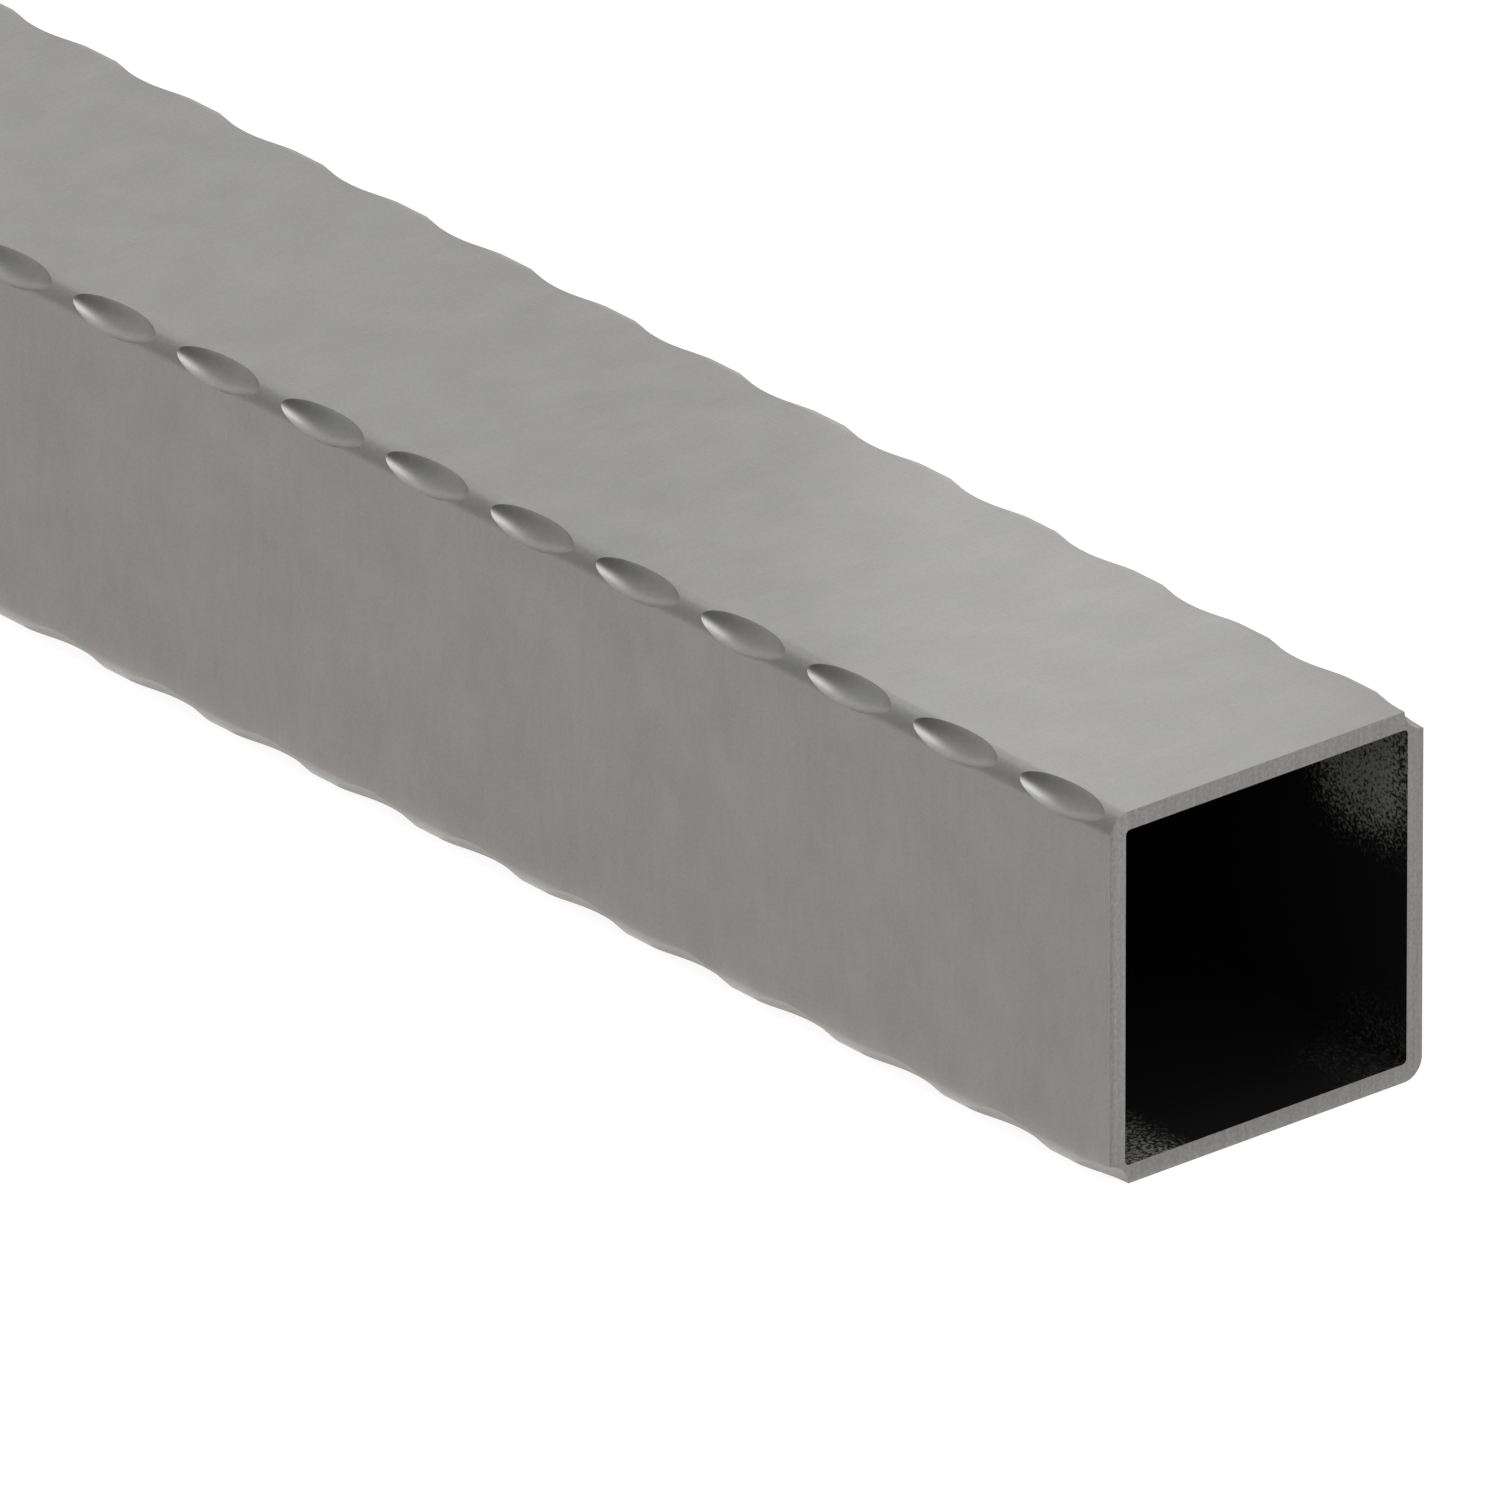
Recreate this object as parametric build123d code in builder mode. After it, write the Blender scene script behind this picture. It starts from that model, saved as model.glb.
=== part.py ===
from build123d import *
from math import asin, cos, degrees, radians, sin, sqrt
import os

# Stock, in millimetres
side = 40.0
wall = 2.0
length = 500.0
outer_radius = 2.3
inner_radius = 0.5

# Hammer marks pressed into the four long corners
mark_pitch = 16.0
# Tip to tip along the rounded corner
mark_length = 12.4
# From where the sharp corner would be down to the floor of the mark
mark_depth = 2.35
# Round of the hollow across the corner, made of a few flats to keep the facets few
hollow_radius = 2.75
hollow_flats = 4
# The end is cut midway between two marks
first_mark = mark_pitch / 2
# Two diagonal corners are marked in step, the other two half a pitch later
stagger = mark_pitch / 2

# Crown of the hammer along the tube, which leaves a mark of that length and depth
half_mark = mark_length / 2
press_depth = mark_depth - outer_radius * (sqrt(2) - 1)
crown_radius = (half_mark ** 2 + press_depth ** 2) / (2 * press_depth)

# The hammer face reaches past the mark on every side
spare = 1.0
spare_angle = 4.0
hammer_turn = degrees(asin((half_mark + spare) / crown_radius))
hammer_rise = mark_depth + spare
face_angle = 2 * (degrees(asin(mark_depth / (sqrt(2) * hollow_radius))) + spare_angle)
face_points = []
for i in range(hollow_flats + 1):
    angle = radians(face_angle * (i / hollow_flats - 1 / 2))
    face_points.append((hollow_radius * sin(angle), hollow_radius * (1 - cos(angle))))
face_half = face_points[-1][0]

# Hammer, with the lowest point of its crowned face at the origin and its crown along X
with BuildPart() as hammer:
    with BuildSketch(Plane.YZ) as face:
        with BuildLine() as face_outline:
            Polyline(*face_points)
            Polyline(face_points[-1], (face_half, hammer_rise), (-face_half, hammer_rise), face_points[0])
        make_face()
    revolve(axis=Axis((0, 0, crown_radius), (0, 1, 0)), revolution_arc=hammer_turn)
    mirror(about=Plane.YZ)

# Places of the marks, each turned so the hammer comes in along the diagonal
mid_height = side / 2
floor_offset = side / 2 - mark_depth / sqrt(2)
blows = []
for y_side, z_side, shift in [(-1, 1, 0), (1, -1, 0), (1, 1, stagger), (-1, -1, stagger)]:
    x = length / 2 - first_mark + shift
    while x > -length / 2 - half_mark:
        place = (x, y_side * floor_offset, mid_height + z_side * floor_offset)
        blow = Plane(origin=place, x_dir=(1, 0, 0), z_dir=(0, y_side, z_side))
        blows.append(blow.location)
        x -= mark_pitch

# Square tube with the marks taken out of its corners
with BuildPart() as tube:
    with BuildSketch(Plane.YZ.offset(-length / 2)) as section:
        with Locations((0, mid_height)):
            RectangleRounded(side, side, outer_radius)
            RectangleRounded(side - 2 * wall, side - 2 * wall, inner_radius, mode=Mode.SUBTRACT)
    extrude(amount=length)
    with Locations(blows):
        add(hammer.part, mode=Mode.SUBTRACT)
tube.part.label = "tube"

os.makedirs("parts", exist_ok=True)
export_step(tube.part, "parts/tube.step")
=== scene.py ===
from math import copysign, cos, pi, radians, sin, sqrt, tan

import bpy
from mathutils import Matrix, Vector


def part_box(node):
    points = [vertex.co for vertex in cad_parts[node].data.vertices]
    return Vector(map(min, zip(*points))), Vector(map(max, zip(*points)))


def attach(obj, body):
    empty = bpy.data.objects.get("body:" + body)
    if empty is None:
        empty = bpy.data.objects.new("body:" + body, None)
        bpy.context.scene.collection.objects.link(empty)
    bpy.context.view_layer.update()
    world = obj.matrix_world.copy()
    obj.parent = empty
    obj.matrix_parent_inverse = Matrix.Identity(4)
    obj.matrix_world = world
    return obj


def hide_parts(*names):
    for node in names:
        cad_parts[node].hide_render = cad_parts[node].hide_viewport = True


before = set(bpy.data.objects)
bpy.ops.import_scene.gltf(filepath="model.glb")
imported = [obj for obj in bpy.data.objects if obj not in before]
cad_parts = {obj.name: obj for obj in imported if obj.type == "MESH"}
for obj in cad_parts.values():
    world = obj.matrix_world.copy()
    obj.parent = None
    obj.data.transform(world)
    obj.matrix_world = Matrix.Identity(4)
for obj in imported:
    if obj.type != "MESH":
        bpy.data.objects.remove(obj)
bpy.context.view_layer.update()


# The tube is one length of welded steel tube, 40 x 40 mm over a 2 mm wall, sawn at both ends.
# A crowned hammer has struck its four long corners every 16 mm: two diagonal corners in step,
# the other two half a pitch later. Each blow leaves a scoop with a crisp lens-shaped rim.
low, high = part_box("tube")
near_end, far_end = high[0], low[0]
side = high[2] - low[2]
half_side = side / 2
pitch = 0.016
corner_round, corner_steps = 0.0023, 16
same_place, on_the_plane = 1e-6, 1e-7


def put_down_everything():
    if bpy.context.object and bpy.context.object.mode != "OBJECT":
        bpy.ops.object.mode_set(mode="OBJECT")
    bpy.ops.object.select_all(action="DESELECT")


def pick(*things):
    put_down_everything()
    for thing in things:
        thing.select_set(True)
    bpy.context.view_layer.objects.active = things[0]


def start_picking(thing, kind):
    """Empties edit mode's own selection, so that edges or faces can be picked in code."""
    pick(thing)
    bpy.ops.object.mode_set(mode="EDIT")
    bpy.ops.mesh.select_mode(type=kind)
    bpy.ops.mesh.select_all(action="DESELECT")
    bpy.ops.object.mode_set(mode="OBJECT")


def pick_edges(thing, wanted):
    start_picking(thing, "EDGE")
    points = thing.data.vertices
    for edge in thing.data.edges:
        edge.select = wanted(points[edge.vertices[0]].co, points[edge.vertices[1]].co)
    bpy.ops.object.mode_set(mode="EDIT")


def square_bar(name, start, end, width, round_off, steps):
    """A square bar lying along X with rounded long corners, at the tube's middle height."""
    put_down_everything()
    bpy.ops.mesh.primitive_cube_add(
        size=1, location=((start + end) / 2, 0, half_side), scale=(end - start, width, width)
    )
    bar = bpy.context.object
    bar.name = bar.data.name = name
    bpy.ops.object.transform_apply(location=True, rotation=True, scale=True)
    pick_edges(bar, lambda a, b: abs(a.y - b.y) < same_place and abs(a.z - b.z) < same_place)
    bpy.ops.mesh.bevel(offset=round_off, segments=steps, profile=0.5, affect="EDGES")
    bpy.ops.object.mode_set(mode="OBJECT")
    return bar


# One pitch of the bar before it is struck. The struck faces get a slot of their own, by which
# their shading is found later, and share the steel's finish.
steel_slot, struck_slot, bore_slot, sawn_slot = range(4)
tube = square_bar("hammered_tube", near_end - pitch, near_end, side, corner_round, corner_steps)
for _ in (steel_slot, struck_slot, bore_slot, sawn_slot):
    bpy.ops.object.material_slot_add()

# The hammer's crown is an arc along the tube, turned about a line just outside the corner. Its
# radius is the one that leaves a dent of the measured length and depth.
mark_length = 0.0124
mark_depth = 0.00235
scoop_round = 0.00275
crown_steps, scoop_steps = 128, 48
half_mark = mark_length / 2
press = mark_depth - corner_round * (sqrt(2) - 1)
crown = (half_mark**2 + press**2) / (2 * press)
put_down_everything()
crown_middle = (0, scoop_round - crown, 0)
bpy.ops.mesh.primitive_circle_add(vertices=crown_steps, radius=crown, location=crown_middle)
hammer = bpy.context.object
hammer.name = "hammer_face"
bpy.ops.object.transform_apply(location=True, rotation=False, scale=False)
pick(hammer)
bpy.ops.object.mode_set(mode="EDIT")
bpy.ops.mesh.select_all(action="SELECT")
bpy.ops.mesh.bisect(plane_co=(0, 0, 0), plane_no=(0, 1, 0), clear_inner=True, threshold=on_the_plane)
bpy.ops.mesh.select_all(action="SELECT")
bpy.ops.mesh.spin(steps=scoop_steps, angle=2 * pi, center=(0, 0, 0), axis=(1, 0, 0))
bpy.ops.mesh.select_all(action="SELECT")
bpy.ops.mesh.remove_doubles(threshold=same_place)
bpy.ops.mesh.normals_make_consistent(inside=False)
bpy.ops.object.mode_set(mode="OBJECT")
for _ in (steel_slot, struck_slot):
    bpy.ops.object.material_slot_add()
for face in hammer.data.polygons:
    face.material_index = struck_slot


def finish_modifier(thing, kind, **settings):
    pick(thing)
    modifier = thing.modifiers.new(kind.lower(), kind)
    for key, value in settings.items():
        setattr(modifier, key, value)
    bpy.ops.object.modifier_apply(modifier=modifier.name)


# The blows that reach into this pitch: one on each of two corners, and half of each of two
# blows on the others
blows = []
reach = half_side + (scoop_round - mark_depth) / sqrt(2)
for y_side, z_side, along in [
    (-1, 1, near_end - pitch / 2),
    (1, -1, near_end - pitch / 2),
    (1, 1, near_end),
    (1, 1, near_end - pitch),
    (-1, -1, near_end),
    (-1, -1, near_end - pitch),
]:
    pick(hammer)
    bpy.ops.object.duplicate()
    blow = bpy.context.object
    blow.location = (along, y_side * reach, half_side + z_side * reach)
    blows.append(blow)
pick(*blows)
bpy.ops.object.join()
struck = bpy.context.object
bpy.ops.object.transform_apply(location=True, rotation=True, scale=True)
finish_modifier(tube, "BOOLEAN", operation="DIFFERENCE", object=struck, solver="EXACT")
pick(struck, hammer)
bpy.ops.object.delete()


def pick_faces(thing, wanted):
    start_picking(thing, "FACE")
    for face in thing.data.polygons:
        face.select = wanted(face)
    bpy.ops.object.mode_set(mode="EDIT")


square_on = 0.999


def cut_square(face):
    """True of a face that lies square across the tube."""
    return abs(face.normal.x) > square_on


# The struck pitch is opened at both ends and repeated to the full length
pick_faces(tube, cut_square)
bpy.ops.mesh.delete(type="FACE")
finish_modifier(
    tube,
    "ARRAY",
    count=int((near_end - far_end) / pitch) + 1,
    use_relative_offset=False,
    use_constant_offset=True,
    constant_offset_displace=(-pitch, 0, 0),
    use_merge_vertices=True,
    merge_threshold=same_place,
)
pick(tube)
bpy.ops.object.mode_set(mode="EDIT")
bpy.ops.mesh.select_all(action="SELECT")
bpy.ops.mesh.bisect(
    plane_co=(far_end, 0, 0), plane_no=(-1, 0, 0), clear_outer=True, threshold=on_the_plane
)

# The bore, smooth and square, then the sawn ends that join it to the outside
wall = 0.002
bore_round, bore_steps = 0.0005, 3
bore = square_bar("bore", far_end, near_end, side - 2 * wall, bore_round, bore_steps)
pick_faces(bore, cut_square)
bpy.ops.mesh.delete(type="FACE")
bpy.ops.mesh.select_all(action="SELECT")
bpy.ops.mesh.flip_normals()
bpy.ops.object.mode_set(mode="OBJECT")
pick(tube, bore)
bpy.ops.object.join()
for end in (near_end, far_end):
    pick_edges(tube, lambda a, b: abs(a.x - end) < on_the_plane and abs(b.x - end) < on_the_plane)
    bpy.ops.mesh.fill(use_beauty=True)
bpy.ops.mesh.select_all(action="SELECT")
bpy.ops.mesh.normals_make_consistent(inside=False)
bpy.ops.object.mode_set(mode="OBJECT")

# Smooth over the rounded corners, crisp at the rims, and flat over the sides
crease = radians(15)
big_face_weight = 80
bpy.ops.object.shade_smooth_by_angle(angle=crease)
finish_modifier(tube, "WEIGHTED_NORMAL", mode="FACE_AREA", weight=big_face_weight, keep_sharp=True)


def scoop_normal(point):
    """The way out of the metal at a point of the nearest dent, on the true round of the hammer."""
    y_side, z_side = copysign(1, point.y), copysign(1, point.z - half_side)
    first = near_end if y_side == z_side else near_end - pitch / 2
    along = (point.x - first + pitch / 2) % pitch - pitch / 2
    across = Vector((0, point.y - y_side * reach, point.z - half_side - z_side * reach))
    to_middle = across.normalized() * (scoop_round - crown) - across
    return (to_middle - Vector((along, 0, 0))).normalized()


# A dent's facets are cut at its rim, so their shading follows the true round instead
normals = [Vector(corner.vector) for corner in tube.data.corner_normals]
for face in tube.data.polygons:
    if face.material_index == struck_slot:
        for corner, vertex in zip(face.loop_indices, face.vertices):
            normals[corner] = scoop_normal(tube.data.vertices[vertex].co)
tube.data.normals_split_custom_set(normals)


class Pattern:
    """A value in a finish, so that patterns are added and multiplied as plain sums."""

    def __init__(self, finish, socket):
        self.finish, self.socket = finish, socket

    def sum(self, operation, first, second):
        return self.finish.node("ShaderNodeMath", {"operation": operation}, {0: first, 1: second})

    def __add__(self, other):
        return self.sum("ADD", self, other)

    def __radd__(self, other):
        return self.sum("ADD", other, self)

    def __sub__(self, other):
        return self.sum("SUBTRACT", self, other)

    def __rsub__(self, other):
        return self.sum("SUBTRACT", other, self)

    def __mul__(self, other):
        return self.sum("MULTIPLY", self, other)

    def __rmul__(self, other):
        return self.sum("MULTIPLY", other, self)

    def __abs__(self):
        return self.finish.node("ShaderNodeMath", {"operation": "ABSOLUTE"}, {0: self})

    def rising(self, start, end):
        """0 below start, 1 above end, and smooth in between."""
        settings = {"interpolation_type": "SMOOTHSTEP"}
        sockets = {"Value": self, "From Min": start, "From Max": end}
        return self.finish.node("ShaderNodeMapRange", settings, sockets)

    def falling(self, start, end):
        """1 below start, 0 above end, and smooth in between."""
        return 1 - self.rising(start, end)


class Finish:
    """The nodes of a material or of the world, built up on its shader."""

    def __init__(self, owner, shader="Principled BSDF"):
        owner.use_nodes = True
        self.owner, self.tree = owner, owner.node_tree
        self.shader = self.tree.nodes[shader]

    def connect(self, socket, value):
        if isinstance(value, Pattern):
            self.tree.links.new(value.socket, socket)
        else:
            socket.default_value = value

    def node(self, kind, settings, sockets, output=0):
        made = self.tree.nodes.new(kind)
        for key, value in settings.items():
            setattr(made, key, value)
        for key, value in sockets.items():
            self.connect(made.inputs[key], value)
        return Pattern(self, made.outputs[output])

    def place(self, stretch=(1, 1, 1), turn=(0, 0, 0), shift=(0, 0, 0)):
        """The object's own coordinates in metres, stretched, turned or shifted."""
        here = self.node("ShaderNodeTexCoord", {}, {}, "Object")
        sockets = {"Vector": here, "Location": shift, "Rotation": turn, "Scale": stretch}
        return self.node("ShaderNodeMapping", {}, sockets)

    def along(self, axis):
        """How far along X, Y or Z a point is, in metres."""
        return self.node("ShaderNodeSeparateXYZ", {}, {0: self.place()}, axis)

    def grain(self, waves, detail=2, roughness=0.6, turn=(0, 0, 0)):
        """Noise from 0 to 1, about the middle, with so many waves to the metre along X, Y and Z."""
        here = self.place(stretch=waves, turn=turn)
        sockets = {"Vector": here, "Scale": 1.0, "Detail": detail, "Roughness": roughness}
        return self.node("ShaderNodeTexNoise", {}, sockets)

    def blend(self, share, first, second):
        """Colour first where share is 0 and second where it is 1."""
        settings = {"data_type": "RGBA", "blend_type": "MIX"}
        return self.node("ShaderNodeMix", settings, {0: share, 6: first, 7: second}, 2)

    def bump(self, strength, height, pattern):
        """Relief in the light alone, height metres deep where the pattern goes from 0 to 1."""
        sockets = {"Strength": strength, "Distance": height, "Height": pattern}
        return self.node("ShaderNodeBump", {}, sockets)

    def ray(self, name):
        """1 for a ray of that kind: the camera's own look, or what it sees mirrored or through glass."""
        return self.node("ShaderNodeLightPath", {}, {}, "Is %s Ray" % name)

    def set(self, **sockets):
        for key, value in sockets.items():
            self.connect(self.shader.inputs[key.replace("_", " ")], value)


def layered(*grains):
    """Grains laid over one another, each with its strength, with 0.5 as their mean."""
    total = 0.5 - sum(strength for grain, strength in grains) / 2
    for grain, strength in grains:
        total = total + strength * grain
    return total


# Bare steel as it leaves the straightening rolls: dull grey, very faintly clouded, with a warm
# bloom in places and the finest of marks that run across each side.
steel = Finish(bpy.data.materials.new("drawn_steel"))
clouds = steel.grain((160, 130, 130), roughness=0.5)
streaks = steel.grain((900, 200, 200))
specks = steel.grain((2600, 2600, 2600), roughness=0.7)
bloom_edge = (0.4, 0.6)
bloom = steel.grain((330, 260, 260), detail=3).rising(*bloom_edge)
dull, dull_bloom = (0.280, 0.279, 0.271, 1), (0.290, 0.279, 0.271, 1)
polished, polished_bloom = (0.358, 0.357, 0.347, 1), (0.371, 0.357, 0.347, 1)
steel.set(
    Base_Color=steel.blend(
        layered((clouds, 0.9), (streaks, 0.5), (specks, 1.1)),
        steel.blend(bloom, dull, dull_bloom),
        steel.blend(bloom, polished, polished_bloom),
    ),
    Metallic=1.0,
    Roughness=0.31 + 0.04 * streaks + 0.03 * clouds,
    Normal=steel.bump(strength=0.06, height=0.00003, pattern=streaks),
)


def grey(value):
    return (value, value, value, 1)


# The bore keeps the black scale of the strip and is never cleaned. Just inside the mouth it is painted
# speckled grey, partly dust and partly painted light where light through the mouth falls: a strong patch
# high on the far wall, another in the near corner of the floor, and a faint one low on the far wall and
# on the floor before it.
scale_black = Finish(bpy.data.materials.new("bore_scale"))
from_mouth = near_end - abs(scale_black.along(0))
across, height = scale_black.along(1), scale_black.along(2)

# Each mask fades inward from the mouth as light reaching in would: painted light over grey dust
patch_height, patch_across, patch_depth = (0.018, 0.031), (0.0, 0.010), (0.009, 0.020)
lip_depth, fainter_at_lip = (0.0, 0.004), 0.3
lit_patch = height.rising(*patch_height) * across.rising(*patch_across) * from_mouth.falling(*patch_depth)
lit_patch = lit_patch * (1 - fainter_at_lip + fainter_at_lip * from_mouth.rising(*lip_depth))

lit_corner_across, lit_corner_depth, lit_corner_height = (-0.014, -0.006), (0.008, 0.016), (0.003, 0.006)
lit_corner_strength = 0.75
lit_corner = across.falling(*lit_corner_across) * from_mouth.falling(*lit_corner_depth) * height.falling(*lit_corner_height)

lit_film_across, lit_film_depth, lit_film_height = (0.002, 0.014), (0.006, 0.018), (0.004, 0.014)
lit_film_strength, lit_film_cover = 0.22, 0.5
lit_film = across.rising(*lit_film_across) * from_mouth.falling(*lit_film_depth) * height.falling(*lit_film_height)

# The dust and painted light show on the roughest grit first, so the more cover there is, the more of the
# grit shows
dust_and_light_amount = lit_patch + lit_corner_strength * lit_corner + lit_film_strength * lit_film
cover = lit_patch + lit_corner_strength * lit_corner + lit_film_cover * lit_film
grit = scale_black.grain((2600, 2600, 2600), detail=3, roughness=0.7)
cover_shift, grit_edge, full_thickness = 0.27, (0.60, 0.80), 0.9
dust_and_light = (grit + cover_shift * cover).rising(*grit_edge) * dust_and_light_amount.rising(0.0, full_thickness)
# Black scale, painted grey for dust and for the light that falls in at the mouth
scale_black.set(
    Base_Color=scale_black.blend(dust_and_light, grey(0.004), (0.30, 0.30, 0.28, 1)),
    Metallic=0.0,
    Specular_IOR_Level=0.2,
    Roughness=0.7,
)

# The ends are saw cuts: clean metal with a fine grain and the faint straight scratches of the blade. The
# near leg of the cut is painted a little brighter, a painted reflection, with a painted shade line along
# its arris.
sawn = Finish(bpy.data.materials.new("sawn_steel"))
blade_slope = radians(12)
scratches = sawn.grain((300, 2200, 70), turn=(blade_slope, 0, 0))
burr = sawn.grain((2300, 2300, 2300), detail=3, roughness=0.7)
leg_from, leg_to = -half_side + 0.0018, -half_side + 0.0030
arris_from, arris_to = -half_side + 0.0002, -half_side + 0.0007
# Painted highlight down the near leg, and a painted shade line along its arris
painted_bright_leg = 0.16 * sawn.along(1).falling(leg_from, leg_to)
painted_arris_shade = 0.24 * sawn.along(1).falling(arris_from, arris_to)
cut_shade = layered((burr, 1.2), (scratches, 0.6)) + painted_bright_leg - painted_arris_shade
cut_dull, cut_bright = (0.19, 0.188, 0.184, 1), (0.395, 0.391, 0.381, 1)
sawn.set(
    Base_Color=sawn.blend(cut_shade, cut_dull, cut_bright),
    Metallic=1.0,
    Roughness=0.36 + 0.06 * burr,
    Normal=sawn.bump(strength=0.15, height=0.00003, pattern=burr + scratches),
)

finishes = {steel_slot: steel, struck_slot: steel, bore_slot: scale_black, sawn_slot: sawn}
for slot, finish in finishes.items():
    tube.material_slots[slot].material = finish.owner
slack = 1e-5
inside = half_side - wall + slack
for face in tube.data.polygons:
    if cut_square(face):
        face.material_index = sawn_slot
    elif abs(face.center.y) < inside and abs(face.center.z - half_side) < inside:
        face.material_index = bore_slot
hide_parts("tube")
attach(tube, "root")


# The tube lies on the white paper floor of a small studio with white walls. In the metal the
# floor shows darker than to the eye, and brighter again in a strip along the tube's foot.
floor_width = 60
paper_white, mirrored_white, brighter_strip = 0.87, 0.57, 0.42
strip_width, strip_before_end, strip_past_end = 0.005, 0.004, 0.003
put_down_everything()
bpy.ops.mesh.primitive_plane_add(size=floor_width, location=(0, 0, 0))
floor = bpy.context.object
floor.name = "floor"
paper = Finish(bpy.data.materials.new("white_floor"))
strip = abs(paper.along(1)).falling(half_side, half_side + strip_width)
strip = strip * abs(paper.along(0)).falling(near_end - strip_before_end, near_end + strip_past_end)
mirrored = (paper.ray("Glossy") + paper.ray("Transmission")) * (mirrored_white + brighter_strip * strip)
mirrored_glow = paper.blend(mirrored, grey(0), (1, 0.985, 0.985, 1))
paper.set(
    Base_Color=grey(0.3),
    Roughness=1.0,
    Specular_IOR_Level=0.0,
    Emission_Color=paper.blend(paper.ray("Camera"), mirrored_glow, grey(paper_white)),
    Emission_Strength=1.0,
)
floor.data.materials.append(paper.owner)

# The walls are white to the eye and a little darker in the metal, and light the room evenly
wall_light, wall_mirrored, wall_seen = 0.75, 0.93, 1.0
world = bpy.data.worlds.new("studio")
bpy.context.scene.world = world
room = Finish(world, "Background")
mirrored_ray = room.ray("Glossy") + room.ray("Transmission")
mirrored = room.blend(mirrored_ray, grey(wall_light), grey(wall_mirrored))
room.set(Color=room.blend(room.ray("Camera"), mirrored, grey(wall_seen)))


# Metal shows what is round it, so the side that the camera looks from is hung with grey cloth,
# which the camera doesn't see. It hangs in a round, runs over the floor up to a hand's width
# before the tube's side, and is darkest off the tube's end. The dents mirror it.
cloth_reach, cloth_height, cloth_gap, above_floor = 2.5, 4.2, 0.11, 0.001
cloth_steps, facing_up = 96, 0.9
cloth_end = radians(41)
cloth_dark, cloth_light = 0.09, 0.665
put_down_everything()
bpy.ops.mesh.primitive_cylinder_add(
    vertices=cloth_steps,
    radius=cloth_reach,
    depth=cloth_height,
    end_fill_type="NGON",
    location=(near_end, 0, cloth_height / 2 + above_floor),
)
drape = bpy.context.object
drape.name = "grey_cloth"
bpy.ops.object.transform_apply(location=True)
pick_faces(drape, lambda face: face.normal.z > facing_up)
bpy.ops.mesh.delete(type="FACE")
for through, way in (
    ((near_end, -half_side - cloth_gap, 0), (0, 1, 0)),
    ((near_end, 0, 0), (cos(cloth_end), sin(cloth_end), 0)),
):
    bpy.ops.mesh.select_all(action="SELECT")
    bpy.ops.mesh.bisect(plane_co=through, plane_no=way, clear_outer=True, threshold=same_place)
bpy.ops.object.mode_set(mode="OBJECT")
cloth = Finish(bpy.data.materials.new("grey_cloth"))
level = cloth.place(stretch=(1, 1, 0), shift=(-near_end, 0, 0))
way = cloth.node("ShaderNodeVectorMath", {"operation": "NORMALIZE"}, {0: level})
along_tube = cloth.node("ShaderNodeSeparateXYZ", {}, {0: way})
darkest_at, lightest_at = 0.25, -1.0
lightening = {"Value": along_tube, "From Min": darkest_at, "From Max": lightest_at}
towards_wall = cloth.node("ShaderNodeMapRange", {}, lightening)
cloth.set(
    Base_Color=grey(0),
    Specular_IOR_Level=0.0,
    Emission_Color=cloth.blend(towards_wall, grey(cloth_dark), grey(cloth_light)),
    Emission_Strength=1.0,
)
drape.data.materials.append(cloth.owner)
drape.visible_camera = False
drape.visible_diffuse = False
drape.visible_shadow = False


def way_to(turn, rise):
    """The way from the tube to a place turned round from its front and raised, both in degrees."""
    turned, raised = radians(turn), radians(rise)
    return Vector((sin(turned) * cos(raised), -cos(turned) * cos(raised), sin(raised)))


def softbox(name, turn, rise, facing, away, width, height, glow):
    """A lamp away from the point that it faces, glow times as bright as white paper."""
    way = way_to(turn, rise)
    put_down_everything()
    bpy.ops.object.light_add(type="AREA", location=Vector(facing) + way * away)
    lamp = bpy.context.object
    lamp.name = name
    lamp.data.shape = "RECTANGLE"
    lamp.data.size, lamp.data.size_y = width, height
    lamp.data.energy = glow * pi * width * height
    lamp.rotation_euler = way.to_track_quat("Z", "Y").to_euler()
    lamp.visible_camera = False


# Two lamps light it: a big soft one overhead, and a small dim card behind the tube, which the
# top mirrors near its end.
over_end, over_mouth = (near_end - 0.05, 0, side), (near_end - 0.024, 0, side)
softbox("overhead", turn=-50, rise=84, facing=over_end, away=1.6, width=0.81, height=0.81, glow=1.8)
softbox("back_card", turn=-130, rise=25, facing=over_mouth, away=0.15, width=0.05, height=0.12, glow=0.3)


# The camera looks from the photograph's side, through a lens so long that the picture is
# almost a parallel view.
back = way_to(49.869, 25.250)
half_view = radians(0.62)
aim = Vector((near_end - 0.02457, -0.04493, 0.04601))
away = 6.7132
sensor_width = 36
nearest, farthest = 0.1, 60
put_down_everything()
bpy.ops.object.camera_add(location=aim + back * away)
camera = bpy.context.object
camera.rotation_euler = back.to_track_quat("Z", "Y").to_euler()
camera.data.sensor_width = sensor_width
camera.data.lens = sensor_width / 2 / tan(half_view)
camera.data.clip_start, camera.data.clip_end = nearest, farthest
bpy.context.scene.camera = camera
bpy.context.scene.view_settings.view_transform = "Standard"
